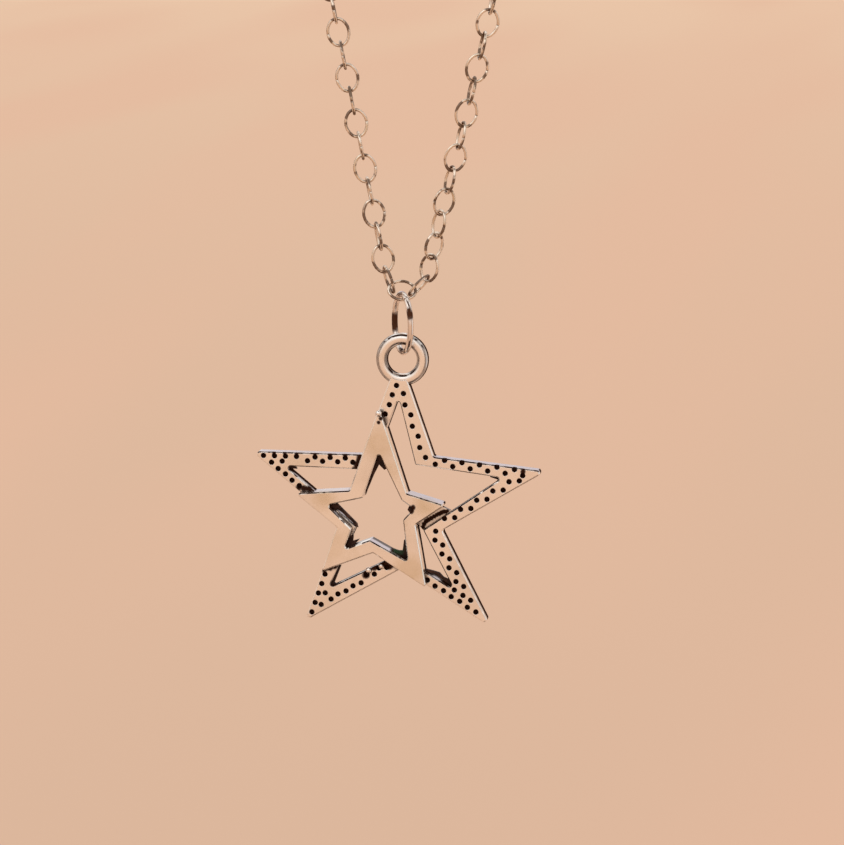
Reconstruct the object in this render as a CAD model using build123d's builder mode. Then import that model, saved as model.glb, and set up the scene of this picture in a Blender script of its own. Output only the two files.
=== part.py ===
"""Star pendant necklace: a cast double star on a fine cable chain, in the form it hangs in when worn."""

import math
import os

from build123d import *

# Chain link, an oval of round wire (all lengths in millimetres, all turns in degrees)
link_length = 3.0
link_width = 2.4
link_wire = 0.3
link_end_radius = 0.85

# Play between two links, at the first joint beside the centre link, the second, and all others
joint_play = (0.4, 0.25, 0.12)

# Centre link at the bottom of the chain, which lies nearly level and carries the jump ring
centre_link_place = (-0.4, 0.0, -0.05)
centre_link_slope = 8.0
centre_link_tilt = 55.0

# Jump ring between the chain and the pendant
jump_ring_outer = 6.4
jump_ring_wire = 0.6
jump_ring_turn = 25.0
jump_ring_play = 0.14
jump_ring_offset = 0.27

# Chosen points of the visible chain on each side: across, back and up from the bottom of the V
left_strand = [(-2.15, 0.1, 2.2), (-7.3, 0.0, 28.3)]
right_strand = [(2.05, 0.9, 1.2), (3.1, 0.5, 6.3), (5.5, 0.0, 15.4), (8.6, 0.0, 28.6)]

# Rest of the loop: strands that open out over the chest, then the arc behind the neck
neck_radius = 48.0
strand_heading = 11.5
shoulder_heading = 22.0
upright_height = 34.0
chest_radius = 125.0
nape_lean = 50.0

# Rounds of correction that place each joint, and halvings that fit the neck's radius
step_rounds = 6
fit_rounds = 24

# Roll of the links about their own strand, beside the jump ring and further up, and from link to link
left_roll_low = 115.0
left_roll_high = 97.0
left_roll_fade = 5.0
right_roll_low = 75.0
right_roll_high = 15.0
right_roll_fade = 3.5
roll_step = 90.0
visible_links = 14

# Closure behind the neck
closure_play = 0.3
clasp_ring_outer = 5.0
clasp_ring_wire = 0.6
end_ring_outer = 6.0
end_ring_wire = 0.7
clasp_length = 11.0
clasp_width = 5.6
clasp_neck_width = 2.4
clasp_thickness = 1.6
clasp_wall = 1.0
clasp_eye_outer = 3.0
clasp_eye_hole = 1.5
clasp_eye_thickness = 1.2

# Pendant casting: a large pitted star, a small plain star in front of it, and a ring on top
star_reach = 14.5
star_thickness = 1.3
small_star_reach = 10.15
small_star_rise = 0.8
small_star_place = (-2.3, -1.08)
cast_ring_outer = 5.3
cast_ring_hole = 2.9
cast_ring_height = 14.5
pendant_turn = 1.5
corner_radius = 0.3
small_corner_radius = 0.18
window_corner_radius = 0.2
edge_break = 0.12
pendant_seat_gap = 0.45

# Pits in the front of the large star
pit_diameter = 0.55
pit_depth = 0.4

# Outline of the large star, a row for each arm: turn and reach of its tip and of the notch after it,
# with each reach as a share of the star's own
star_points = [
    (91.2, 1.03, 128.4, 0.42),
    (163.1, 1.08, 201.8, 0.445),
    (233.6, 1.07, 274.5, 0.455),
    (308.9, 1.07, 331.2, 0.355),
    (375.3, 1.055, 414.6, 0.415),
]

# Window of the large star, in the same columns
star_window_points = [
    (91.1, 0.74, 130.2, 0.295),
    (164.4, 0.825, 211.2, 0.335),
    (232.7, 0.775, 271.8, 0.36),
    (305.0, 0.71, 315.7, 0.25),
    (376.8, 0.75, 427.9, 0.30),
]

# Outline of the small star
small_star_points = [
    (88.7, 1.065, 137.8, 0.335),
    (167.9, 0.805, 201.6, 0.395),
    (229.7, 0.785, 270.3, 0.385),
    (307.4, 0.89, 349.1, 0.425),
    (370.3, 0.715, 394.9, 0.395),
]

# Window of the small star
small_window_points = [
    (87.0, 0.625, 125.5, 0.195),
    (171.6, 0.47, 215.6, 0.27),
    (231.7, 0.465, 262.5, 0.26),
    (307.8, 0.57, 352.3, 0.295),
    (371.1, 0.40, 390.1, 0.315),
]

# Sunken web that joins the small star's right arm to the large star: corners across and up from the
# large star's middle, and thickness from the back
web_corners = [(4.38, -0.18), (5.20, -0.54), (2.63, -2.81), (1.90, -2.04)]
web_thickness = 0.5

# Rows of pits: arm, edge before (-1) or after (1) its tip, first and last pit as shares of the
# edge from the tip, number of pits, and the two distances from the edge that they alternate between
pit_rows = [
    (0, 1, 0.27, 0.56, 4, 0.85, 0.78),
    (0, -1, 0.35, 0.98, 7, 0.80, 1.03),
    (1, -1, 0.11, 0.41, 4, 0.40, 0.40),
    (1, -1, 0.28, 0.28, 1, 0.92, 0.92),
    (1, -1, 0.51, 0.92, 7, 0.80, 0.40),
    (1, 1, 0.20, 0.52, 5, 0.46, 0.40),
    (2, -1, 0.11, 0.50, 5, 0.40, 0.40),
    (2, -1, 0.21, 0.33, 2, 1.04, 1.04),
    (2, 1, 0.31, 0.62, 5, 0.68, 0.80),
    (2, 1, 0.70, 0.89, 4, 1.15, 0.82),
    (3, 1, 0.31, 1.02, 11, 0.60, 1.08),
    (3, 1, 0.46, 0.46, 1, 1.61, 1.61),
    (3, -1, 0.20, 0.74, 7, 0.50, 0.42),
    (4, 1, 0.20, 0.98, 11, 0.70, 0.20),
    (4, -1, 0.23, 0.93, 10, 0.50, 0.93),
]


# Oval link, flat in XY with its length along X
half_length = (link_length - link_wire) / 2
half_width = (link_width - link_wire) / 2
end_centre = half_length - link_end_radius
side_spare = half_width - link_end_radius
side_centre = (end_centre**2 - side_spare**2) / (2 * side_spare)
side_radius = half_width + side_centre
end_spread = math.degrees(math.atan2(side_centre, end_centre))

with BuildPart() as link:
    for middle, radius, centre_distance, spread in (
        (0, link_end_radius, end_centre, end_spread),
        (90, side_radius, -side_centre, 90 - end_spread),
        (180, link_end_radius, end_centre, end_spread),
        (270, side_radius, -side_centre, 90 - end_spread),
    ):
        centre = Vector(centre_distance, 0, 0).rotate(Axis.Z, middle)
        outwards = Vector(1, 0, 0).rotate(Axis.Z, middle - spread)
        along = Vector(0, 1, 0).rotate(Axis.Z, middle - spread)
        with BuildSketch(Plane(origin=centre + outwards * radius, x_dir=outwards, z_dir=along)):
            Circle(link_wire / 2)
        revolve(axis=Axis(centre, (0, 0, 1)), revolution_arc=2 * spread)

# Two links overlap by their wire and the play of their joint
straight_overlap = link_wire + joint_play[-1]
link_pitch = 2 * half_length - straight_overlap


def overlap_at(joint):
    """Return the overlap at a joint, counted along a strand from the centre link."""
    return link_wire + joint_play[min(joint, len(joint_play) - 1)]


# Centre link, tilted so that its front side is the lower one, and the jump ring on that side
centre_middle = Vector(*centre_link_place)
centre_along = Vector(1, 0, 0).rotate(Axis.Y, centre_link_slope)
centre_across = Vector(0, 1, 0).rotate(Axis((0, 0, 0), centre_along), centre_link_tilt)
jump_ring_radius = (jump_ring_outer - jump_ring_wire) / 2
side_depth = math.sqrt(side_radius**2 - jump_ring_offset**2) - side_centre
ring_pivot = centre_middle - centre_across * side_depth + centre_along * jump_ring_offset
ring_middle = ring_pivot + Vector(0, 0, (link_wire + jump_ring_wire) / 2 + jump_ring_play - jump_ring_radius)
pendant_pivot = ring_middle - Vector(0, 0, jump_ring_radius)

# Places along the closure, from the end wire of the last left link to that of the last right one
clasp_ring_radius = (clasp_ring_outer - clasp_ring_wire) / 2
end_ring_radius = (end_ring_outer - end_ring_wire) / 2
clasp_ring_place = clasp_ring_radius - (link_wire + clasp_ring_wire) / 2 - closure_play
clasp_start = clasp_ring_place + clasp_ring_outer / 2 - clasp_ring_wire - closure_play
clasp_start -= (clasp_eye_outer - clasp_eye_hole) / 2
end_ring_place = clasp_start + clasp_length - clasp_wall - closure_play - end_ring_wire / 2 + end_ring_radius
closure_span = end_ring_place + end_ring_radius - (link_wire + end_ring_wire) / 2 - closure_play


def bend(across, back, up):
    """Bend the flat loop back over chest and shoulders; return the point and the lean there."""
    lean = math.radians(nape_lean)
    lean_here = min(max((up - upright_height) / chest_radius, 0), lean)
    beyond = max(up - upright_height - chest_radius * lean, 0)
    behind = chest_radius * (1 - math.cos(lean_here)) + beyond * math.sin(lean_here)
    height = min(up, upright_height) + chest_radius * math.sin(lean_here) + beyond * math.cos(lean_here)
    return Vector(across, behind + back, height), lean_here


def strand_route(joint, chosen, side, radius):
    """List the pieces of one strand of the flat loop: length, start, end, heading and rate of turn."""
    points = [tuple(joint)] + chosen
    pieces = []
    for here, there in zip(points, points[1:]):
        run = math.dist(here, there)
        pieces.append((run, here, there, 0.0, 0.0))
    low = math.radians(strand_heading)
    high = math.radians(shoulder_heading)
    spread = radius * math.cos(high) - side * (points[-1][0] - centre_line)
    opening = spread * (high - low) / (math.cos(low) - math.cos(high))
    rise = opening * (math.sin(high) - math.sin(low)) / (high - low)
    shoulder = (centre_line + side * radius * math.cos(high), 0.0, points[-1][2] + rise)
    pieces.append((opening, points[-1], None, low, (high - low) / opening))
    pieces.append((radius * (math.pi / 2 + high), shoulder, None, high, -1 / radius))
    return pieces


def route_point(pieces, side, distance):
    """Return the point at a distance along one strand, and the lean of the chest there."""
    for length, here, there, heading, turn in pieces:
        if distance <= length:
            break
        distance -= length
    if there is not None:
        share = distance / length
        return bend(*(a + (b - a) * share for a, b in zip(here, there)))
    end = heading + turn * distance
    across = here[0] + side * (math.cos(heading) - math.cos(end)) / turn
    up = here[2] + (math.sin(end) - math.sin(heading)) / turn
    return bend(across, 0.0, up)


def walk(pieces, side, count):
    """Step from joint to joint along one strand, one step for each link."""
    joints = [route_point(pieces, side, 0.0)]
    place = 0.0
    for number in range(count):
        step = 2 * half_length - (overlap_at(number) + overlap_at(number + 1)) / 2
        place += step
        for _ in range(step_rounds):
            place += step - (route_point(pieces, side, place)[0] - joints[-1][0]).length
        joints.append(route_point(pieces, side, place))
    return joints


def end_wire(joints):
    """Return the middle of the outer end wire of a strand's last link."""
    along = (joints[-1][0] - joints[-2][0]).normalized()
    return joints[-1][0] + along * straight_overlap / 2


def lay_loop(radius):
    """Lay both strands for one neck radius."""
    left = walk(strand_route(left_joint, left_strand, -1, radius), -1, left_count)
    right = walk(strand_route(right_joint, right_strand, 1, radius), 1, right_count)
    return left, right


# Both strands start at the joints of the centre link and end at the closure behind the neck
joint_reach = half_length - overlap_at(0) / 2
left_joint = centre_middle - centre_along * joint_reach
right_joint = centre_middle + centre_along * joint_reach
centre_line = (left_strand[-1][0] + right_strand[-1][0]) / 2
side_lengths = [
    sum(piece[0] for piece in strand_route(joint, chosen, side, neck_radius))
    for joint, chosen, side in ((left_joint, left_strand, -1), (right_joint, right_strand, 1))
]
left_count = round((side_lengths[0] - closure_span / 2) / link_pitch)
right_count = round((sum(side_lengths) - closure_span) / link_pitch) - left_count

# The neck's radius gives a little, so that a whole number of links meets the closure
slack_radius = neck_radius + link_pitch
tight_radius = neck_radius - link_pitch
for _ in range(fit_rounds):
    fitted_radius = (slack_radius + tight_radius) / 2
    left_joints, right_joints = lay_loop(fitted_radius)
    if (end_wire(right_joints) - end_wire(left_joints)).length > closure_span:
        slack_radius = fitted_radius
    else:
        tight_radius = fitted_radius

# The origin is the nape, at the top of the loop behind the neck
top_piece = strand_route(left_joint, left_strand, -1, fitted_radius)[-1]
nape_height = top_piece[1][2] + fitted_radius * (1 + math.sin(math.radians(shoulder_heading)))
nape = bend(centre_line, 0.0, nape_height)[0]


def link_places(joints, side, roll_low, roll_high, fade):
    """Return where each link of a strand stands, turned about its own line by its roll."""
    count = len(joints) - 1
    last_roll = roll_high + roll_step * (count - 1)
    hidden_turn = (-side * nape_lean - last_roll + 90) % 180 - 90
    places = []
    for number, (here, there) in enumerate(zip(joints, joints[1:])):
        along = (there[0] - here[0]).normalized()
        middle = here[0] + along * (half_length - overlap_at(number) / 2)
        lean = (here[1] + there[1]) / 2
        chest_normal = Vector(0, math.cos(lean), -math.sin(lean))
        flat_normal = (chest_normal - along * chest_normal.dot(along)).normalized()
        hidden_share = max(number - visible_links, 0) / (count - 1 - visible_links)
        roll = roll_high + (roll_low - roll_high) * math.exp(-number / fade)
        roll += roll_step * number + hidden_turn * hidden_share
        across = flat_normal.cross(along).rotate(Axis((0, 0, 0), along), roll)
        places.append(Plane(origin=middle - nape, x_dir=along, z_dir=along.cross(across)).location)
    return places


left_places = link_places(left_joints, -1, left_roll_low, left_roll_high, left_roll_fade)
right_places = link_places(right_joints, 1, right_roll_low, right_roll_high, right_roll_fade)
centre_plane = Plane(
    origin=centre_middle - nape,
    x_dir=centre_along,
    z_dir=centre_along.cross(centre_across),
)

# Each half of the chain is one node of loose links; the centre link belongs to the left half
chain_left = Compound(
    label="chain_left",
    children=[link.part.moved(place) for place in [centre_plane.location] + left_places],
)
chain_right = Compound(
    label="chain_right",
    children=[link.part.moved(place) for place in right_places],
)

# Jump ring, hanging on the front side of the centre link
ring_normal = Vector(1, 0, 0).rotate(Axis.Z, jump_ring_turn)
with BuildPart(Plane(origin=ring_middle - nape, z_dir=ring_normal)) as jump_ring:
    Torus(jump_ring_radius, jump_ring_wire / 2)


def star_corners(points, reach):
    """Return the corners of a star, tip and notch in turn, from its chart of arms."""
    corners = []
    for tip_turn, tip_share, notch_turn, notch_share in points:
        for turn, share in ((tip_turn, tip_share), (notch_turn, notch_share)):
            corners.append(Vector(reach * share, 0, 0).rotate(Axis.Z, turn))
    return corners


def pit_centres():
    """Return the pits' places on the large star, row by row along the edges of its outline."""
    corners = star_corners(star_points, star_reach)
    centres = []
    for arm, side, first, last, count, near, far in pit_rows:
        tip = corners[2 * arm]
        notch = corners[(2 * arm + side) % len(corners)]
        inwards = (notch - tip).normalized().rotate(Axis.Z, 90 * side)
        for number in range(count):
            share = first + (last - first) * number / max(count - 1, 1)
            centres.append(tip + (notch - tip) * share + inwards * (far if number % 2 else near))
    return centres


# The pendant hangs by the hole of its cast ring, a little turned as it is worn
ring_section = (cast_ring_outer - cast_ring_hole) / 4
hole_drop = (cast_ring_hole - jump_ring_wire) / 2 - pendant_seat_gap
hole_middle = pendant_pivot - Vector(0, 0, hole_drop) - nape
pendant_up = Vector(0, 0, 1).rotate(Axis.Y, pendant_turn)
pendant_plane = Plane(
    origin=hole_middle - pendant_up * cast_ring_height,
    x_dir=Vector(1, 0, 0).rotate(Axis.Y, pendant_turn),
    z_dir=(0, -1, 0),
)
back_plane = pendant_plane.offset(-star_thickness / 2)
front_plane = pendant_plane.offset(star_thickness / 2)

# Large star: an open frame whose top tip ends under the cast ring
with BuildPart() as large_star:
    with BuildSketch(back_plane):
        with BuildLine():
            Polyline(*star_corners(star_points, star_reach), close=True)
        make_face()
        fillet(vertices(), corner_radius)
    extrude(amount=star_thickness)
    with BuildSketch(back_plane):
        with BuildLine():
            Polyline(*star_corners(star_window_points, star_reach), close=True)
        make_face()
        fillet(vertices(), window_corner_radius)
    extrude(amount=star_thickness, mode=Mode.SUBTRACT)
    chamfer(faces().sort_by(Axis.Y)[0].edges(), edge_break)
    with BuildSketch(back_plane):
        with Locations((0, cast_ring_height)):
            Circle(cast_ring_hole / 2 + ring_section)
    extrude(amount=star_thickness, mode=Mode.SUBTRACT)
    with BuildSketch(front_plane):
        with Locations(*pit_centres()):
            Circle(pit_diameter / 2)
    extrude(amount=-pit_depth, mode=Mode.SUBTRACT)

# Small star: a plain open frame that stands proud of the large one
small_plane = Plane(
    origin=back_plane.from_local_coords(Vector(*small_star_place, 0)),
    x_dir=back_plane.x_dir,
    z_dir=back_plane.z_dir,
)
with BuildPart() as small_star:
    with BuildSketch(small_plane):
        with BuildLine():
            Polyline(*star_corners(small_star_points, small_star_reach), close=True)
        make_face()
        fillet(vertices(), small_corner_radius)
    extrude(amount=star_thickness + small_star_rise)
    with BuildSketch(small_plane):
        with BuildLine():
            Polyline(*star_corners(small_window_points, small_star_reach), close=True)
        make_face()
        fillet(vertices(), window_corner_radius)
    extrude(amount=star_thickness + small_star_rise, mode=Mode.SUBTRACT)
    chamfer(faces().sort_by(Axis.Y)[0].edges(), edge_break)

# Pendant: both stars, the web between them and the ring in one casting
with BuildPart() as star_pendant:
    add(large_star.part)
    add(small_star.part)
    with BuildSketch(back_plane):
        with BuildLine():
            Polyline(*web_corners, close=True)
        make_face()
    extrude(amount=web_thickness)
    with Locations(Plane(origin=hole_middle, z_dir=(0, -1, 0))):
        Torus(cast_ring_hole / 2 + ring_section, ring_section)

# Line of the closure behind the neck, with the clasp flat against the nape
closure_start = end_wire(left_joints) - nape
closure_along = (end_wire(right_joints) - end_wire(left_joints)).normalized()
closure_out = closure_along.cross(Vector(0, 0, 1)).normalized()
closure_up = closure_out.cross(closure_along)


def closure_plane(place, normal):
    """Return a plane on the line of the closure."""
    return Plane(origin=closure_start + closure_along * place, x_dir=closure_along, z_dir=normal)


with BuildPart(closure_plane(clasp_ring_place, closure_up)) as clasp_ring:
    Torus(clasp_ring_radius, clasp_ring_wire / 2)

with BuildPart(closure_plane(end_ring_place, closure_up)) as end_ring:
    Torus(end_ring_radius, end_ring_wire / 2)

# Lobster clasp, closed: a drop-shaped loop on a flat eye
clasp_plane = closure_plane(clasp_start, closure_out)
head_place = clasp_length - clasp_width / 2
neck_place = clasp_eye_outer + clasp_neck_width / 2 - clasp_wall / 2
with BuildPart() as lobster_clasp:
    with BuildSketch(clasp_plane.offset(-clasp_thickness / 2)):
        with Locations((head_place, 0)):
            Circle(clasp_width / 2)
        with Locations((neck_place, 0)):
            Circle(clasp_neck_width / 2)
        make_hull()
    extrude(amount=clasp_thickness)
    with BuildSketch(clasp_plane.offset(-clasp_thickness / 2)):
        with Locations((head_place, 0)):
            Circle(clasp_width / 2 - clasp_wall)
        with Locations((neck_place + clasp_wall, 0)):
            Circle(clasp_neck_width / 2 - clasp_wall / 2)
        make_hull()
    extrude(amount=clasp_thickness, mode=Mode.SUBTRACT)
    with BuildSketch(clasp_plane.offset(-clasp_eye_thickness / 2)):
        with Locations((clasp_eye_outer / 2, 0)):
            Circle(clasp_eye_outer / 2)
            Circle(clasp_eye_hole / 2, mode=Mode.SUBTRACT)
    extrude(amount=clasp_eye_thickness)

# Written pieces
os.makedirs("parts", exist_ok=True)
export_step(chain_left, "parts/chain_left.step")
export_step(chain_right, "parts/chain_right.step")

jump_ring.part.label = "jump_ring"
export_step(jump_ring.part, "parts/jump_ring.step")
star_pendant.part.label = "star_pendant"
export_step(star_pendant.part, "parts/star_pendant.step")
lobster_clasp.part.label = "lobster_clasp"
export_step(lobster_clasp.part, "parts/lobster_clasp.step")
clasp_ring.part.label = "clasp_ring"
export_step(clasp_ring.part, "parts/clasp_ring.step")
end_ring.part.label = "end_ring"
export_step(end_ring.part, "parts/end_ring.step")

# Figures that the record and the report repeat
chain_links = left_count + right_count + 1
print("links", left_count, right_count, "fitted neck radius", round(fitted_radius, 3))
print("chain length", round(chain_links * link_pitch + closure_span, 1))
print("ring pivot", tuple(round(value, 4) for value in ring_pivot - nape))
print("pendant pivot", tuple(round(value, 4) for value in pendant_pivot - nape))
print("pendant centre of mass", tuple(round(value, 3) for value in star_pendant.part.center(CenterOf.MASS)))
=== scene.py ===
# %% [markdown]
# # Star pendant necklace
# A silver-plated casting of two open stars hangs from a jump ring on a fine cable chain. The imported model
# already has every piece at its real size and place. This lesson gives each of them the look of the real
# thing: wire with its cut seams, rounded cast edges, polish, tarnish and the dark antiquing in the corners.

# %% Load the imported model
import bmesh
import bpy
import math
import numpy as np
from mathutils import Matrix, Vector


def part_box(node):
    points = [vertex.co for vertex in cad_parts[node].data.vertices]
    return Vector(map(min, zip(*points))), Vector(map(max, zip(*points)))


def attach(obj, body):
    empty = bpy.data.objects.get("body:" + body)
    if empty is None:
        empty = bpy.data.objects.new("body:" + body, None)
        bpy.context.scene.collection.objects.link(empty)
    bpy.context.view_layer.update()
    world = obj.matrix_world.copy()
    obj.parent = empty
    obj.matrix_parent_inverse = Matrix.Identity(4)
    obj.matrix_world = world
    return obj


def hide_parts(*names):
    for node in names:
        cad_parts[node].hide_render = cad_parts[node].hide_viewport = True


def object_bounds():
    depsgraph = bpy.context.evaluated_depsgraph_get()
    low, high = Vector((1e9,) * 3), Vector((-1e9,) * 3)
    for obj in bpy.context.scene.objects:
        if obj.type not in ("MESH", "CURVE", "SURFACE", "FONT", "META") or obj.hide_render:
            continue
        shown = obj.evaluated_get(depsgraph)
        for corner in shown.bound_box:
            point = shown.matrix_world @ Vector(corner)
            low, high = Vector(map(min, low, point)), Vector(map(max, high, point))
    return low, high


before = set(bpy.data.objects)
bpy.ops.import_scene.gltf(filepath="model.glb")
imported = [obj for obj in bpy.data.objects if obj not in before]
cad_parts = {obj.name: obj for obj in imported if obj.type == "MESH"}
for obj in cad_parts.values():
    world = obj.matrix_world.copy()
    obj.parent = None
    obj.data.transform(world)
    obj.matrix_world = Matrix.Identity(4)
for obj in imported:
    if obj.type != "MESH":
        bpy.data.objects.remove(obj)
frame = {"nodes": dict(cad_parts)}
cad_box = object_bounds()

mm = 0.001
print("nodes", ", ".join(frame["nodes"]))

# %% [markdown]
# ## Camera
# The picture is a close view of the pendant, taken a little from above and from the right, so that the
# right-hand and upper walls of the stars show. A long lens keeps the stars free of perspective.

# %% Camera
view_target = Vector((1.1, -101.5, -189.8)) * mm
view_width = 84.0 * mm
view_azimuth = math.radians(9.0)
view_elevation = math.radians(9.0)
lens = 180.0
sensor = 36.0

toward_camera = Vector((
    math.sin(view_azimuth) * math.cos(view_elevation),
    -math.cos(view_azimuth) * math.cos(view_elevation),
    math.sin(view_elevation),
))
camera = bpy.data.objects.new("camera", bpy.data.cameras.new("camera"))
bpy.context.collection.objects.link(camera)
camera.data.lens = lens
camera.data.sensor_width = sensor
camera.data.clip_start = 1 * mm
camera.location = view_target + toward_camera * view_width * lens / sensor
camera.rotation_mode = "QUATERNION"
camera.rotation_quaternion = (-toward_camera).to_track_quat("-Z", "Y")
bpy.context.scene.camera = camera
bpy.context.scene.view_settings.view_transform = "Standard"
print("camera", [round(value, 3) for value in camera.location])

# %% [markdown]
# ## Shader sums
# A metal's look is mostly arithmetic on masks: where the polish reached, where the dark stayed. A small
# class wraps a socket, so that this arithmetic is written as Python expressions, and one method adds any
# other node.


# %% A socket that adds and multiplies
class Value:
    """A shader socket that takes part in sums."""

    def __init__(self, tree, socket):
        self.tree = tree
        self.socket = socket

    def sum_node(self, operation, *terms, clamp=False):
        node = self.tree.nodes.new("ShaderNodeMath")
        node.operation = operation
        node.use_clamp = clamp
        for place, term in enumerate(terms):
            if isinstance(term, Value):
                self.tree.links.new(term.socket, node.inputs[place])
            else:
                node.inputs[place].default_value = term
        return Value(self.tree, node.outputs[0])

    def __add__(self, other):
        return self.sum_node("ADD", self, other)

    def __radd__(self, other):
        return self.sum_node("ADD", other, self)

    def __sub__(self, other):
        return self.sum_node("SUBTRACT", self, other)

    def __rsub__(self, other):
        return self.sum_node("SUBTRACT", other, self)

    def __mul__(self, other):
        return self.sum_node("MULTIPLY", self, other)

    def __rmul__(self, other):
        return self.sum_node("MULTIPLY", other, self)

    def __abs__(self):
        return self.sum_node("ABSOLUTE", self)

    def held(self):
        """Hold the value between 0 and 1."""
        return self.sum_node("ADD", self, 0.0, clamp=True)

    def rise(self, low, high):
        """Return 0 below low, 1 above high, and a straight rise between them."""
        return ((self - low) * (1 / (high - low))).held()


class Shading:
    """The node tree of a material or a world, with one method that adds any node."""

    def __init__(self, owner):
        owner.use_nodes = True
        self.tree = owner.node_tree
        self.tree.nodes.clear()

    def add(self, kind, settings=None, sockets=None, output=0):
        node = self.tree.nodes.new(kind)
        for name, setting in (settings or {}).items():
            setattr(node, name, setting)
        for name, term in (sockets or {}).items():
            if isinstance(term, Value):
                self.tree.links.new(term.socket, node.inputs[name])
            else:
                node.inputs[name].default_value = term
        return Value(self.tree, node.outputs[output]) if node.outputs else None

    def mix(self, share, first, second):
        """Mix two colours by a share."""
        first = first if isinstance(first, Value) else (*first, 1.0)
        second = second if isinstance(second, Value) else (*second, 1.0)
        return self.add(
            "ShaderNodeMix", {"data_type": "RGBA"}, {"Factor": share, "A": first, "B": second}, "Result"
        )


def noise(shading, place, scale, detail, roughness=0.5):
    """Return cloudy noise around 0.5, with a number of clouds to the metre."""
    return shading.add(
        "ShaderNodeTexNoise", None,
        {"Vector": place, "Scale": scale, "Detail": detail, "Roughness": roughness}, "Fac"
    )


def part_along(shading, vector, axis):
    """Return the part of a vector along X, Y or Z."""
    return shading.add("ShaderNodeSeparateXYZ", None, {"Vector": vector}, axis)


print("shader sums ready")

# %% [markdown]
# ## Places in the picture
# A few small marks, such as stains, are easiest to place where the picture shows them. This helper sends a
# ray through a pixel and returns the point where it meets an upright plane facing the front.


# %% From a pixel to a point
picture_width = 844.0
picture_height = 845.0
view_right = toward_camera.cross(Vector((0, 0, -1))).normalized()
view_up = toward_camera.cross(view_right)


def seen_at(across, down, depth):
    """Return the point at a depth along Y that the camera sees at a pixel of the picture."""
    pixel = view_width / picture_height
    aim_point = view_target + view_right * (across - picture_width / 2) * pixel
    aim_point = aim_point - view_up * (down - picture_height / 2) * pixel
    ray = aim_point - camera.location
    return camera.location + ray * (depth - camera.location.y) / ray.y


picture_middle = seen_at(picture_width / 2, picture_height / 2, view_target.y)
print("middle of the picture", [round(value, 4) for value in picture_middle])

# %% [markdown]
# ## Studio
# Polished metal shows its surroundings, so the studio is half of the look. The floor is a plain pale peach,
# lit evenly by the world, and its colour holds painted light: paler far in front and far behind, darker in
# between. The flat faces of the stars mirror it. Pale cards give the gleams, and umber ones draw the dark
# lines along walls and wires, as is usual in pictures of jewellery. The cards are seen by reflections only,
# so they neither show in the picture nor cast a shadow.

# %% Floor
floor_drop = 900 * mm
floor_reach = 30.0
fade_behind = (3.0, 16.0)
fade_in_front = (1.0, 4.0)
front_light = 0.8
cloud_stretch = (1.5, 0.2, 1.0)
pink_share = 0.6
peach_shade = (0.745, 0.522, 0.385)
peach_light = (0.85, 0.615, 0.450)
peach_pink = (0.82, 0.545, 0.40)

floor_mesh = bmesh.new()
bmesh.ops.create_grid(floor_mesh, x_segments=1, y_segments=1, size=floor_reach)
bmesh.ops.translate(floor_mesh, verts=floor_mesh.verts, vec=(0, 0, cad_box[0].z - floor_drop))
floor = bpy.data.objects.new("floor", bpy.data.meshes.new("floor"))
floor_mesh.to_mesh(floor.data)
floor_mesh.free()
bpy.context.collection.objects.link(floor)

floor_material = bpy.data.materials.new("pale_floor")
shading = Shading(floor_material)
floor_place = shading.add("ShaderNodeTexCoord", None, None, "Object")
floor_stretch = shading.add(
    "ShaderNodeMapping", None, {"Vector": floor_place, "Scale": cloud_stretch}, "Vector"
)
floor_clouds = noise(shading, floor_stretch, 1.0, 1.0)
floor_depth = part_along(shading, floor_place, "Y")
# Painted light: the floor's colour turns from peach_shade near the pendant to peach_light far in front and
# far behind
light_in_front = (0 - floor_depth).rise(*fade_in_front) * front_light
floor_light = (floor_depth.rise(*fade_behind) + light_in_front).held()
floor_base = shading.mix(floor_light, peach_shade, peach_light)
floor_colour = shading.mix(floor_clouds.rise(0.40, 0.62) * pink_share, floor_base, peach_pink)
floor_surface = shading.add("ShaderNodeBsdfDiffuse", None, {"Color": floor_colour})
shading.add("ShaderNodeOutputMaterial", None, {"Surface": floor_surface})
floor.data.materials.append(floor_material)
print("floor at", round(cad_box[0].z - floor_drop, 3))

# %% World
sky_low = (0.80, 0.57, 0.43)
sky_high = (0.99, 0.97, 0.95)
sky_fade = (0.0, 0.7)
world = bpy.data.worlds.new("studio")
bpy.context.scene.world = world
shading = Shading(world)
direction = shading.add("ShaderNodeTexCoord", None, None, "Generated")
sky = shading.mix(part_along(shading, direction, "Z").rise(*sky_fade), sky_low, sky_high)
background = shading.add("ShaderNodeBackground", None, {"Color": sky, "Strength": 1.0})
shading.add("ShaderNodeOutputWorld", None, {"Surface": background})
print("world ready")


# %% Cards
def around(azimuth, elevation, distance):
    """Return a place round the pendant: azimuth 0 is in front of it, 90 to its right."""
    turn = math.radians(azimuth)
    rise = math.radians(elevation)
    return view_target + distance * Vector((
        math.sin(turn) * math.cos(rise),
        -math.cos(turn) * math.cos(rise),
        math.sin(rise),
    ))


card_distance = 800 * mm


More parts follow.
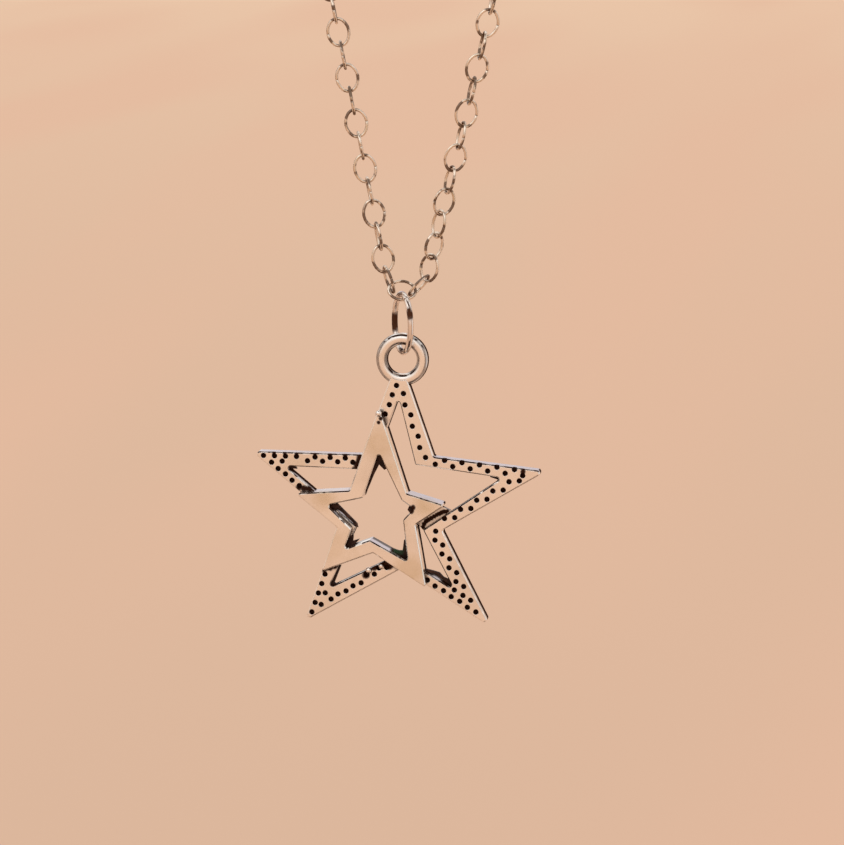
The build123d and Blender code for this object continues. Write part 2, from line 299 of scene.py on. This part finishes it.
def card(name, azimuth, elevation, wide, tall, tone, strength):
    """Stand a card that fills an angle, as seen from the pendant, and shows in reflections only."""
    sides = (2 * card_distance * math.tan(math.radians(angle / 2)) for angle in (wide, tall))
    place = around(azimuth, elevation, card_distance)
    turn = (view_target - place).to_track_quat("-Z", "Y").to_matrix().to_4x4()
    card_mesh = bmesh.new()
    bmesh.ops.create_grid(card_mesh, x_segments=1, y_segments=1, size=0.5)
    bmesh.ops.scale(card_mesh, verts=card_mesh.verts, vec=(*sides, 1))
    bmesh.ops.transform(card_mesh, verts=card_mesh.verts, matrix=Matrix.Translation(place) @ turn)
    thing = bpy.data.objects.new(name, bpy.data.meshes.new(name))
    card_mesh.to_mesh(thing.data)
    card_mesh.free()
    material = bpy.data.materials.new(name)
    shading = Shading(material)
    glow = shading.add("ShaderNodeEmission", None, {"Color": (*tone, 1.0), "Strength": strength})
    shading.add("ShaderNodeOutputMaterial", None, {"Surface": glow})
    thing.data.materials.append(material)
    thing.visible_camera = False
    thing.visible_diffuse = False
    thing.visible_shadow = False
    bpy.context.collection.objects.link(thing)
    return thing


white = (1.0, 0.97, 0.95)
lavender = (0.86, 0.78, 0.86)
umber = (0.10, 0.055, 0.04)

# Azimuth and elevation, width and height as angles, then colour and strength
cards = [
    card("card_behind_above", 180.0, 17.0, 70.0, 20.0, lavender, 0.72),
    card("card_behind_left", -160.0, 0.0, 16.0, 16.0, white, 0.95),
    card("card_far_right", 142.0, -4.0, 10.0, 60.0, umber, 1.0),
    card("card_far_left", -142.0, -4.0, 10.0, 60.0, umber, 1.0),
    card("card_right", 88.0, -6.0, 30.0, 40.0, white, 0.85),
    card("card_front_right", 53.0, 0.0, 12.0, 70.0, umber, 1.0),
    card("card_front_left", -67.0, 0.0, 12.0, 70.0, umber, 1.0),
    card("card_below", 0.0, -76.0, 60.0, 40.0, umber, 1.0),
    card("card_above", -35.0, 50.0, 50.0, 26.0, white, 1.5),
    card("card_zenith", 0.0, 79.0, 70.0, 26.0, umber, 1.0),
]
print("cards", len(cards))

# %% [markdown]
# ## Antiqued silver
# The real finish is thin silver plate that was blackened and then tumbled: the polish reaches the open
# faces and worn edges, and the dark stays in pits, corners and joints. Ambient occlusion finds exactly
# those places, and a Bevel node rounds the light on the edges of the casting without touching its mesh.
#
# Two masks are gathered for each metal, one for the dark and one for the yellow of tarnish, and then the
# shader is built from them. Patina is matte and has no gloss of its own, so it stays dark where a wall is
# seen at a grazing angle: it is a second shader, which the dark mask blends over the metal.


# %% A spot seen at a pixel
spot_core = 0.45
fine_fray = 0.5
coarse_fray = 1.2


def distance_from(shading, place, point):
    """Return how far a place is from a point."""
    return shading.add(
        "ShaderNodeVectorMath", {"operation": "DISTANCE"}, {0: place, 1: tuple(point)}, "Value"
    )


def near_spot(shading, place, clouds, grain, across, down, depth, size):
    """Return a mask that is 1 at the place seen at a pixel and fades raggedly to 0 at a distance."""
    away = distance_from(shading, place, seen_at(across, down, depth))
    ragged = away + (grain - 0.5) * fine_fray * size + (clouds - 0.5) * coarse_fray * size
    return 1 - ragged.rise(spot_core * size, size)


print("spots fade from", spot_core, "of their size")

# %% Mottling of a plated metal
cloud_scale = 420.0
grain_scale = 5200.0
dull_scale = 190.0
dull_grey = (0.30, 0.24, 0.20)
dull_share = 0.10
tarnish_yellow = (0.70, 0.57, 0.36)

# The openness over which a corner's dark fades out, and how far clouds fray it
corner_openness = (0.44, 0.78)
corner_fray = 0.4

# How much clouds, tarnish and patina add to the roughness
cloud_rough = 0.10
tarnish_rough = 0.08
patina_rough = 0.45

# How high grain and clouds stand, in units of the bump
grain_height = 0.35
cloud_height = 4.0
bump_unit = 0.01 * mm
print("a cloud is", round(1000 / cloud_scale, 2), "mm and a grain", round(1000 / grain_scale, 2), "mm")


# %% A plated metal
class Plating:
    def __init__(self, name, reach, tarnish):
        """Start the masks: reach is how far occlusion looks, and tarnish how warm the clouds are."""
        self.material = bpy.data.materials.new(name)
        self.shading = Shading(self.material)
        self.place = self.shading.add("ShaderNodeTexCoord", None, None, "Object")
        self.clouds = noise(self.shading, self.place, cloud_scale, 4.0, 0.6)
        self.grain = noise(self.shading, self.place, grain_scale, 2.0)
        openness = self.shading.add(
            "ShaderNodeAmbientOcclusion", {"samples": 12}, {"Distance": reach}, "AO"
        )
        self.dark_share = 1 - (openness + (self.clouds - 0.5) * corner_fray).rise(*corner_openness)
        self.warm_share = (self.clouds.rise(0.50, 0.72) * tarnish).held()

    def spot(self, across, down, depth, size):
        """Return a ragged mask round the place seen at a pixel."""
        return near_spot(self.shading, self.place, self.clouds, self.grain, across, down, depth, size)

    def darken(self, mask):
        """Add dark where a mask says: patina, and in places painted shade and painted reflection."""
        self.dark_share = (self.dark_share + mask).held()

    def polish(self, mask):
        """Take patina away where a mask says."""
        self.dark_share = self.dark_share * (1 - mask)

    def tint(self, mask):
        """Add tarnish where a mask says."""
        self.warm_share = (self.warm_share + mask).held()

    def finish(self, colour, dark, roughness, edge=0.0):
        """Build the shader from the masks; edge is the radius that light sees on sharp edges."""
        shading = self.shading
        dulled = noise(shading, self.place, dull_scale, 1.0)
        metal = shading.mix(dulled.rise(0.40, 0.62) * dull_share, colour, dull_grey)
        metal = shading.mix(self.warm_share, metal, tarnish_yellow)
        metal = shading.mix(self.dark_share, metal, dark)
        rough = roughness + self.clouds.rise(0.35, 0.7) * cloud_rough
        rough = rough + self.warm_share * tarnish_rough + self.dark_share * patina_rough
        height = self.grain * grain_height + self.clouds * cloud_height
        bump = {"Height": height, "Strength": 0.25, "Distance": bump_unit}
        if edge:
            bump["Normal"] = shading.add("ShaderNodeBevel", {"samples": 6}, {"Radius": edge}, "Normal")
        surface = shading.add(
            "ShaderNodeBsdfPrincipled", None,
            {
                "Base Color": metal,
                "Metallic": 1.0,
                "Roughness": rough,
                "Normal": shading.add("ShaderNodeBump", None, bump, "Normal"),
            },
        )
        patina = shading.add(
            "ShaderNodeBsdfPrincipled", None,
            {"Base Color": (*dark, 1.0), "Roughness": 0.8, "Specular IOR Level": 0.0}
        )
        blend = shading.add("ShaderNodeMixShader", None, {"Fac": self.dark_share, 1: surface, 2: patina})
        shading.add("ShaderNodeOutputMaterial", None, {"Surface": blend})
        print(self.material.name, "nodes", len(shading.tree.nodes))
        return self.material


print("plating ready")

# %% [markdown]
# ## The casting's finish
# The tumbling never reached what lies below the front of the large star, or along the rear of its walls. So
# depth and the direction that a surface faces say where its dark is deepest: in the pits, on the rear of the
# side walls, where the patina also paints in the walls' dark reflection, and in dashes along the upper edges.
# The right-facing sides of the cast ring are darkened as a painted dark reflection. The flat web below the
# small star's right arm did get its polish.

# %% Depths of the casting
star_thickness = 1.3 * mm
web_thickness = 0.5 * mm
small_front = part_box("star_pendant")[0].y
star_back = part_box("star_pendant")[1].y
star_front = star_back - star_thickness
web_front = star_back - web_thickness
wall_middle = (small_front + star_back) / 2
pit_depths = (star_front + 0.1 * mm, star_front + 0.25 * mm)
web_depths = (star_front + 0.5 * mm, star_front + 0.6 * mm)
rear_depths = (star_back - 1.1 * mm, star_back - 0.66 * mm)
proud_depths = (star_front - 0.5 * mm, star_front - 0.3 * mm)
ring_centre = seen_at(402.3, 357.6, star_back - star_thickness / 2)
ring_reach = (2.75 * mm, 2.85 * mm)
print("depths in mm", [round(depth / mm, 2) for depth in (small_front, star_front, web_front, star_back)])

# %% Where the casting's surface faces
casting = Plating("cast_silver", reach=0.9 * mm, tarnish=0.25)
shading = casting.shading
facing = shading.add("ShaderNodeTexCoord", None, None, "Normal")
sideways = part_along(shading, facing, "X")
backwards = part_along(shading, facing, "Y")
upwards = part_along(shading, facing, "Z")
depth_here = part_along(shading, casting.place, "Y")

faces_front = (0 - backwards).rise(0.6, 0.9)
faces_back = backwards.rise(0.6, 0.9)
walls = (1 - faces_front) * (1 - faces_back)
side_walls = abs(sideways).rise(0.3, 0.6) * walls
chamfers = (0 - backwards).rise(0.5, 0.65) * (1 - (0 - backwards).rise(0.76, 0.86))
edge_on = 1 - abs(backwards).rise(0.25, 0.50)
print("masks of front, back, walls and edges ready")

# %% Dark by depth and direction
web_polish = 0.75
rear_patina_and_painted_reflection = 0.95
dash_dark = 0.9
painted_ring_reflection = 0.85
rear_fray = 0.5 * mm
dash_scale = 1300.0

pitted = depth_here.rise(*pit_depths)
webbed = depth_here.rise(*web_depths)
ragged_depth = depth_here + (casting.clouds - 0.5) * rear_fray
rear = ragged_depth.rise(*rear_depths)
casting.polish(webbed * faces_front * web_polish)
# The dark on the rear of the side walls is patina and also a painted dark reflection
casting.darken(pitted * (1 - webbed) * faces_front + rear * side_walls * rear_patina_and_painted_reflection)

dashes = noise(shading, casting.place, dash_scale, 1.0)
casting.darken(chamfers * upwards.rise(0.3, 0.5) * dashes.rise(0.44, 0.50) * dash_dark)

# Painted reflection: the cast ring's right-facing sides, seen edge-on, are darkened as if they mirrored
# something dark
in_ring = 1 - distance_from(shading, casting.place, ring_centre).rise(*ring_reach)
casting.darken(in_ring * edge_on * sideways.rise(0.15, 0.40) * painted_ring_reflection)
print("dark laid by depth and direction")

# %% [markdown]
# ## Spots of the casting
# Stains, lines of painted shadow and specks follow no rule, so they are charted one by one: a row gives the
# place in the picture, across and down, the depth along Y and the size of a spot. The pits along the upper
# edges have small upward tails, where dark metal ran.

# %% Spots on walls
gleam_share = 0.9

# Dark in the windows' corners
wall_spots = [
    (378.6, 460.0, 1.0 * mm),
    (330.0, 502.0, 0.8 * mm),
    (347.7, 542.6, 0.9 * mm),
    (402.0, 553.0, 1.0 * mm),
    (411.5, 509.4, 0.7 * mm),
    (332.0, 586.0, 0.8 * mm),
    (291.0, 465.5, 0.8 * mm),
]
for across, down, size in wall_spots:
    casting.darken(casting.spot(across, down, wall_middle, size) * walls)

# Polished stretches of wall: two on the small window's left, one on the large window's lower right
gleams = [
    (341.5, 515.0, small_front + 0.6 * mm, 0.95 * mm),
    (349.0, 522.5, small_front + 0.6 * mm, 0.95 * mm),
    (437.0, 578.0, star_front + 0.3 * mm, 0.8 * mm),
]
for gleam in gleams:
    casting.polish(casting.spot(*gleam) * walls * gleam_share)
print("wall spots", len(wall_spots), "gleams", len(gleams))

# %% Lines and specks on faces
shadow_and_pit_size = 0.42 * mm
web_shade_size = 0.62 * shadow_and_pit_size
speck = 0.24 * mm
tail = 0.27 * mm
tail_rise = 3.6

# Painted shadow beside the small star, and dark pits round the beads
shadow_lines_and_bead_pits = [
    (360.5, 458.5), (358.5, 463.5), (356.0, 470.0),
    (299.0, 487.6), (304.0, 488.3), (309.0, 488.6),
    (324.0, 569.4), (329.5, 567.6), (335.0, 565.6),
    (376.0, 558.6), (380.5, 561.0), (385.0, 563.6), (389.5, 566.4), (374.0, 567.0), (366.0, 575.0),
]

# In the sunken web, under the small star's right arm: patina and the arm's painted shade
web_shade_points = [
    (422.8, 527.6), (424.2, 524.0), (426.4, 521.3), (429.0, 519.4), (431.5, 517.8), (434.0, 516.3),
    (436.5, 515.0), (439.0, 513.7), (441.5, 512.5), (444.0, 511.6), (447.0, 511.4),
]

# Pits with an upward tail
tailed_pits = [
    (273.9, 455.8), (284.5, 456.2), (296.5, 457.0), (314.8, 457.6), (330.0, 457.9), (345.2, 458.3),
    (444.2, 461.2), (461.9, 462.8), (479.7, 465.4), (496.8, 467.6), (514.2, 469.6), (523.0, 475.5),
]

# At the small star's top tip
specks = [(374.4, 414.3), (376.4, 409.6), (381.4, 409.2), (380.6, 418.6), (378.6, 422.6)]

# Dark that spills from the small window's right corner over the face
spills = [(412.6, 508.2, 0.42 * mm), (411.4, 511.4, 0.34 * mm)]

face_spots = [(across, down, star_front, shadow_and_pit_size) for across, down in shadow_lines_and_bead_pits]
face_spots += [(across, down, web_front, web_shade_size) for across, down in web_shade_points]
face_spots += [(across, down, small_front, size) for across, down, size in spills]
face_spots += [(across, down - tail_rise, star_front, tail) for across, down in tailed_pits]
face_spots += [(across, down, small_front, speck) for across, down in specks]
for spot in face_spots:
    casting.darken(casting.spot(*spot))
print("face spots", len(face_spots))

# %% Tarnish of the casting
stains = [
    (379.0, 444.0, 2.0 * mm, 0.35),
    (324.0, 498.0, 1.5 * mm, 0.32),
    (331.0, 546.0, 2.0 * mm, 0.22),
    (410.0, 570.0, 1.8 * mm, 0.40),
    (426.0, 504.0, 1.6 * mm, 0.35),
    (392.0, 470.0, 1.2 * mm, 0.22),
]
small_star_tint = 0.08
proud = 1 - depth_here.rise(*proud_depths)
casting.tint(proud * casting.clouds.rise(0.35, 0.6) * small_star_tint)
for across, down, size, share in stains:
    casting.tint(casting.spot(across, down, small_front, size) * share)

# The back is duller than the front
cast_silver = casting.finish(
    colour=(0.98, 0.94, 0.90), dark=(0.034, 0.013, 0.008),
    roughness=0.16 + faces_back * 0.22, edge=0.07 * mm
)

# %% [markdown]
# ## Wire and clasp
# The jump ring has a dark stretch on either side and is dark where the cast ring hangs. The chain's wire is
# dark in irregular patches, since most of it lies in corners where links cross. The hidden clasp is plain
# and clean.

# %% Finish of the rings
ring_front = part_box("jump_ring")[0].y
ring_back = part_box("jump_ring")[1].y

# Two on the left of the jump ring, two on its right and one where the cast ring hangs
ring_spots = [
    (394.6, 318.0, ring_back - 0.5 * mm, 0.85 * mm),
    (394.4, 325.0, ring_back - 0.5 * mm, 0.85 * mm),
    (408.8, 306.0, ring_front, 0.7 * mm),
    (409.6, 313.0, ring_front, 0.7 * mm),
    (400.5, 345.0, view_target.y, 0.9 * mm),
]
ring_plating = Plating("ring_silver", reach=0.6 * mm, tarnish=0.3)
for spot in ring_spots:
    ring_plating.darken(ring_plating.spot(*spot))
ring_silver = ring_plating.finish(
    colour=(0.86, 0.78, 0.72), dark=(0.075, 0.032, 0.018), roughness=0.12
)

# %% Finishes of chain and clasp
patch_scale = 900.0
patch_dark = 0.55

chain_plating = Plating("chain_silver", reach=0.8 * mm, tarnish=0.45)
patches = noise(chain_plating.shading, chain_plating.place, patch_scale, 2.0)
chain_plating.darken(patches.rise(0.50, 0.57) * patch_dark)
chain_silver = chain_plating.finish(
    colour=(0.86, 0.74, 0.62), dark=(0.095, 0.040, 0.018), roughness=0.14
)

clasp_plating = Plating("clasp_silver", reach=0.5 * mm, tarnish=0.3)
clasp_silver = clasp_plating.finish(
    colour=(0.88, 0.84, 0.80), dark=(0.04, 0.02, 0.014), roughness=0.14, edge=0.10 * mm
)

# %% [markdown]
# ## Bent wire
# Links and rings are cut from drawn wire and bent round until their ends meet, so each has a seam. The
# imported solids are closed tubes, which is right for checks but hides that seam. Here each is swept again
# with the spin operator: a round section goes through a run of arcs, and both cut ends are capped and
# bevelled a little.


# %% Sweep a wire through arcs
def bent_wire(wire, sides, start, arcs, seam):
    """Sweep a round wire counterclockwise in the XY plane, through arcs of a centre, a turn and steps.

    The seam is a gap in the wire, with its middle at the start.
    """
    form = bmesh.new()
    upright = Matrix.Translation(start) @ Matrix.Rotation(math.pi / 2, 4, "Y")
    bmesh.ops.create_circle(form, cap_ends=False, segments=sides, radius=wire / 2, matrix=upright)
    nip = seam / 2 / (start - arcs[0][0]).length
    bmesh.ops.rotate(form, verts=form.verts, cent=arcs[0][0], matrix=Matrix.Rotation(nip, 3, "Z"))
    section = form.verts[:] + form.edges[:]
    for number, (centre, turn, steps) in enumerate(arcs):
        short = nip * ((number == 0) + (number == len(arcs) - 1))
        swept = bmesh.ops.spin(
            form, geom=section, cent=centre, axis=(0, 0, 1), angle=turn - short, steps=steps
        )
        section = swept["geom_last"]
    rims = [edge for edge in form.edges if edge.is_boundary]
    bmesh.ops.holes_fill(form, edges=rims, sides=sides)
    bmesh.ops.recalc_face_normals(form, faces=form.faces)
    return form, rims


def soften_cut(form, rims, size):
    """Bevel the rims of the two cut ends."""
    bmesh.ops.bevel(
        form, geom=rims, offset=size, offset_type="OFFSET", segments=1, profile=0.5,
        affect="EDGES", material=-1, clamp_overlap=True
    )


print("wire tools ready")

# %% A finished piece
sharp_angle = math.radians(75)


def finish_piece(name, form, body, node, material):
    """Make a mesh object of a finished form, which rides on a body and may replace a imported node."""
    for face in form.faces:
        face.smooth = True
    piece = bpy.data.objects.new(name, bpy.data.meshes.new(name))
    form.to_mesh(piece.data)
    form.free()
    piece.data.set_sharp_from_angle(angle=sharp_angle)
    piece.data.materials.append(material)
    bpy.context.collection.objects.link(piece)
    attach(piece, body)
    if node:
        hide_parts(node)
    print(name, "faces", len(piece.data.polygons))


print("edges sharper than", round(math.degrees(sharp_angle)), "degrees stay sharp")

# %% [markdown]
# ## Cable chain
# Over two hundred links hang in one another, each about a quarter turned against the last. Their places
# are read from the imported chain: the merged mesh falls into islands, one for each link, and the spread of
# an island's points gives the link's length, width and normal. The few links near the pendant are swept
# finely and the rest with a few dozen faces, which is all that their size in any view can show.

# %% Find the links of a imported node
same_point = 0.0001 * mm


def link_frames(node):
    """Return a matrix for each loose link of a node, and the size of a link along its own axes."""
    merged = bmesh.new()
    merged.from_mesh(node.data)
    bmesh.ops.remove_doubles(merged, verts=merged.verts, dist=same_point)
    merged.verts.index_update()
    points = np.array([vert.co[:] for vert in merged.verts])
    ends = np.array([[vert.index for vert in edge.verts] for edge in merged.edges])
    merged.free()
    island = np.arange(len(points))
    settled = False
    while not settled:
        lower = np.minimum(island[ends[:, 0]], island[ends[:, 1]])
        joined = island.copy()
        np.minimum.at(joined, ends[:, 0], lower)
        np.minimum.at(joined, ends[:, 1], lower)
        joined = joined[joined]
        settled = np.array_equal(joined, island)
        island = joined
    frames = []
    for first in np.unique(island):
        cloud = points[island == first]
        middle = cloud.mean(axis=0)
        spread = np.linalg.eigh(np.cov((cloud - middle).T))[1][:, ::-1]
        size = np.ptp((cloud - middle) @ spread, axis=0)
        along = Vector(spread[:, 0])
        across = Vector(spread[:, 1])
        turn = Matrix((along, across, along.cross(across))).transposed().to_4x4()
        frames.append(Matrix.Translation(Vector(middle)) @ turn)
    return frames, size


left_frames = link_frames(frame["nodes"]["chain_left"])[0]
right_frames, link_size = link_frames(frame["nodes"]["chain_right"])
print("links", len(left_frames), len(right_frames))
print("link size in mm", [round(value / mm, 2) for value in link_size])

# %% One link
link_length, link_width, link_wire = (float(value) for value in link_size)
end_radius = 0.85 * mm
link_seam = 0.02 * mm
link_cut_bevel = 0.03 * mm


def link_form(sides, end_steps, side_steps):
    """Sweep one oval link, with its seam in the middle of a long side."""
    end_centre = (link_length - link_wire) / 2 - end_radius
    half_width = (link_width - link_wire) / 2
    spare = half_width - end_radius
    side_centre = (end_centre**2 - spare**2) / (2 * spare)
    half_end = math.atan2(side_centre, end_centre)
    half_side = math.pi / 2 - half_end
    arcs = [
        (Vector((0, -side_centre, 0)), half_side, side_steps),
        (Vector((-end_centre, 0, 0)), 2 * half_end, end_steps),
        (Vector((0, side_centre, 0)), 2 * half_side, 2 * side_steps),
        (Vector((end_centre, 0, 0)), 2 * half_end, end_steps),
        (Vector((0, -side_centre, 0)), half_side, side_steps),
    ]
    return bent_wire(link_wire, sides, Vector((0, half_width, 0)), arcs, link_seam)


near_form, rims = link_form(sides=8, end_steps=9, side_steps=3)
soften_cut(near_form, rims, link_cut_bevel)
far_form, rims = link_form(sides=6, end_steps=5, side_steps=1)
near_link = bpy.data.meshes.new("near_link")
near_form.to_mesh(near_link)
far_link = bpy.data.meshes.new("far_link")
far_form.to_mesh(far_link)
print("faces of a near link", len(near_link.polygons), "and of a far link", len(far_link.polygons))

# %% Both halves of the chain
near_height = view_target.z + 0.65 * view_width
half_turn = Matrix.Rotation(math.pi, 4, "X")


def lay_links(frames):
    """Join a copy of the link at each frame, with the seams on alternate sides."""
    strand = bmesh.new()
    for number, frame_here in enumerate(frames):
        count = len(strand.verts)
        strand.from_mesh(near_link if frame_here.translation.z < near_height else far_link)
        strand.verts.ensure_lookup_table()
        turn = frame_here @ half_turn if number % 2 else frame_here
        bmesh.ops.transform(strand, verts=strand.verts[count:], matrix=turn)
    return strand


for side, frames in (("left", left_frames), ("right", right_frames)):
    finish_piece(
        "links_" + side, lay_links(frames), "chain", "chain_" + side, chain_silver
    )

# %% [markdown]
# ## Rings of wire
# The jump ring and the two rings of the closure are the same bent wire, thicker and round. Each is
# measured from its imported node: the direction in which its points spread least is its normal.


# %% Round rings
ring_sides = 16
ring_steps = 64
ring_cut_bevel = 0.04 * mm


def wire_ring(name, node_name, body, seam_turn, seam):
    """Sweep a ring in the place of an imported one, its seam turned from its lowest point."""
    node = frame["nodes"][node_name]
    points = np.empty(len(node.data.vertices) * 3)
    node.data.vertices.foreach_get("co", points)
    points = points.reshape(-1, 3)
    normal = Vector(np.linalg.eigh(np.cov(points.T))[1][:, 0])
    down = (Vector((0, 0, -1)) + normal * normal.z).normalized()
    turn = Matrix((normal.cross(down), down, normal.cross(down).cross(down))).transposed()
    local = points @ np.array(turn)
    middle = turn @ Vector((local.max(axis=0) + local.min(axis=0)) / 2)
    wire = float(np.ptp(local[:, 2]))
    radius = (float(np.ptp(local[:, 1])) - wire) / 2
    here = Vector((0, 0, 0))
    turns = [(here, 2 * math.pi, ring_steps)]
    form, rims = bent_wire(wire, ring_sides, Vector((0, radius, 0)), turns, seam)
    soften_cut(form, rims, ring_cut_bevel)
    place = Matrix.Translation(middle) @ turn.to_4x4() @ Matrix.Rotation(math.radians(seam_turn), 4, "Z")
    bmesh.ops.transform(form, verts=form.verts, matrix=place)
    print(name, "diameter", round(2 * radius / mm + wire / mm, 2), "wire", round(wire / mm, 2))
    finish_piece(name, form, body, node_name, ring_silver)


wire_ring("pendant_jump_ring", "jump_ring", "jump_ring", seam_turn=150.0, seam=0.05 * mm)
wire_ring("clasp_side_ring", "clasp_ring", "chain", seam_turn=60.0, seam=0.04 * mm)
wire_ring("end_side_ring", "end_ring", "chain", seam_turn=200.0, seam=0.04 * mm)

# %% [markdown]
# ## Casting and clasp
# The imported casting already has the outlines, pits, windows and broken edges of the real stars, so it keeps
# its mesh and takes the cast finish. The clasp behind the neck does the same.

# %% Dress the casting and the clasp
dressed = {"star_pendant": cast_silver, "lobster_clasp": clasp_silver}
for name, metal in dressed.items():
    node = frame["nodes"][name]
    node.data.materials.clear()
    node.data.materials.append(metal)
print("dressed", ", ".join(dressed))

# %% [markdown]
# ## Blackening and painted shade in the corners
# In the real casting the acute corners of the windows are not clean: a thin skin of metal and blackening
# stayed there when the piece was tumbled. Together with the deep shade in these corners it reads as small
# black wedges, so the wedges are partly painted shade. Each is drawn as a flat outline where the picture
# shows it, a little below the front, and extruded so that its outer sides sink into the walls that carry it.

# %% Dark wedges
wedge_thickness = 0.35 * mm
small_depth = small_front + 0.8 * mm
large_depth = star_front + 0.4 * mm
wedges = {
    "small window, top": (
        small_depth,
        [(374.0, 450.0), (384.0, 450.0), (387.5, 468.0), (384.4, 470.0), (379.0, 464.5), (373.6, 475.0),
         (367.6, 489.5), (365.2, 493.5), (361.5, 495.0)],
    ),
    "small window, left": (
        small_depth,
        [(331.0, 501.5), (336.5, 502.8), (356.8, 523.2), (358.0, 527.5), (350.6, 520.4), (338.0, 507.8),
         (335.4, 509.5), (329.5, 508.0)],
    ),
    "small window, lower left": (
        small_depth,
        [(345.5, 546.5), (350.4, 535.5), (353.4, 536.0), (352.8, 541.0), (359.5, 539.0), (355.5, 543.5),
         (350.0, 547.5)],
    ),
    "small window, lower right": (
        small_depth,
        [(391.0, 548.0), (398.5, 550.6), (402.6, 550.6), (404.0, 540.0), (408.5, 542.0), (410.5, 560.0),
         (406.0, 560.0), (395.0, 554.0)],
    ),
    "small window, right": (
        small_depth,
        [(410.5, 503.0), (418.0, 509.0), (411.5, 515.0), (407.4, 509.8)],
    ),
    "large window, lower right": (
        large_depth,
        [(423.5, 568.5), (433.0, 570.8), (439.5, 572.8), (443.5, 577.2), (450.0, 580.0), (453.0, 588.0),
         (446.5, 582.2), (441.0, 578.4), (434.0, 574.2), (424.5, 570.6)],
    ),
    "large window, lower left": (
        large_depth,
        [(327.5, 590.0), (335.0, 565.5), (341.0, 565.5), (334.3, 582.6), (336.5, 583.6), (343.0, 582.8),
         (339.0, 587.5), (331.0, 591.5)],
    ),
    "large window, left": (
        large_depth,
        [(287.0, 464.0), (293.0, 462.5), (297.0, 468.8), (291.5, 468.5)],
    ),
    "large window, right": (
        large_depth,
        [(489.0, 474.5), (503.0, 477.5), (501.0, 489.0), (495.5, 484.5), (497.5, 479.5), (490.5, 477.2)],
    ),
}


def extrude_wedges(charts):
    """Extrude each outline backwards from its depth into a thin closed wedge."""
    form = bmesh.new()
    for depth, outline in charts.values():
        film = form.faces.new([form.verts.new(seen_at(across, down, depth)) for across, down in outline])
        grown = bmesh.ops.extrude_face_region(form, geom=[film])["geom"]
        moved = [item for item in grown if isinstance(item, bmesh.types.BMVert)]
        bmesh.ops.translate(form, verts=moved, vec=(0, wedge_thickness, 0))
    bmesh.ops.recalc_face_normals(form, faces=form.faces)
    print("open edges", sum(edge.is_boundary for edge in form.edges))
    return form


wedge_form = extrude_wedges(wedges)

# %% Finish of the wedges
wedge_black = (0.020, 0.008, 0.006)
wedge_brown = (0.085, 0.040, 0.028)
verdigris = (0.03, 0.10, 0.05)
wedge_mottle_scale = 1500.0
green_share = 0.6

# A trace of green in the small window's lower right corner
green_trace = (398.0, 550.0, small_depth, 0.7 * mm)

# The wedges' black is the blackening left in the corners and painted shade as well
blackened_skin_and_painted_shade = bpy.data.materials.new("blackened_skin_and_painted_shade")
shading = Shading(blackened_skin_and_painted_shade)
wedge_place = shading.add("ShaderNodeTexCoord", None, None, "Object")
wedge_mottle = noise(shading, wedge_place, wedge_mottle_scale, 3.0)
green = near_spot(shading, wedge_place, wedge_mottle, wedge_mottle, *green_trace)
wedge_colour = shading.mix(wedge_mottle.rise(0.45, 0.75), wedge_black, wedge_brown)
wedge_colour = shading.mix(green * green_share, wedge_colour, verdigris)
wedge_bump = shading.add(
    "ShaderNodeBump", None, {"Height": wedge_mottle, "Strength": 0.4, "Distance": 0.03 * mm}, "Normal"
)
wedge_surface = shading.add(
    "ShaderNodeBsdfPrincipled", None,
    {
        "Base Color": wedge_colour,
        "Roughness": 0.42 + wedge_mottle * 0.2,
        "Specular IOR Level": 0.15,
        "Normal": wedge_bump,
    },
)
shading.add("ShaderNodeOutputMaterial", None, {"Surface": wedge_surface})
finish_piece("corner_shade_and_blackened_skin", wedge_form, "pendant", None, blackened_skin_and_painted_shade)

# %% [markdown]
# ## Cast beads
# Where a bubble sat in the mould, the metal froze as a small bead on the casting's edge. Three of them show,
# at the small star's top tip and below its window. Each is a plain ball that is half sunk in the casting.

# %% Cast beads
bead_radius = 0.32 * mm
beads = [(378.6, 413.6, small_front), (368.6, 570.2, star_front), (381.6, 566.0, star_front)]
bead_form = bmesh.new()
for across, down, depth in beads:
    bmesh.ops.create_uvsphere(
        bead_form, u_segments=16, v_segments=10, radius=bead_radius,
        matrix=Matrix.Translation(seen_at(across, down, depth))
    )
finish_piece("cast_beads", bead_form, "pendant", None, cast_silver)
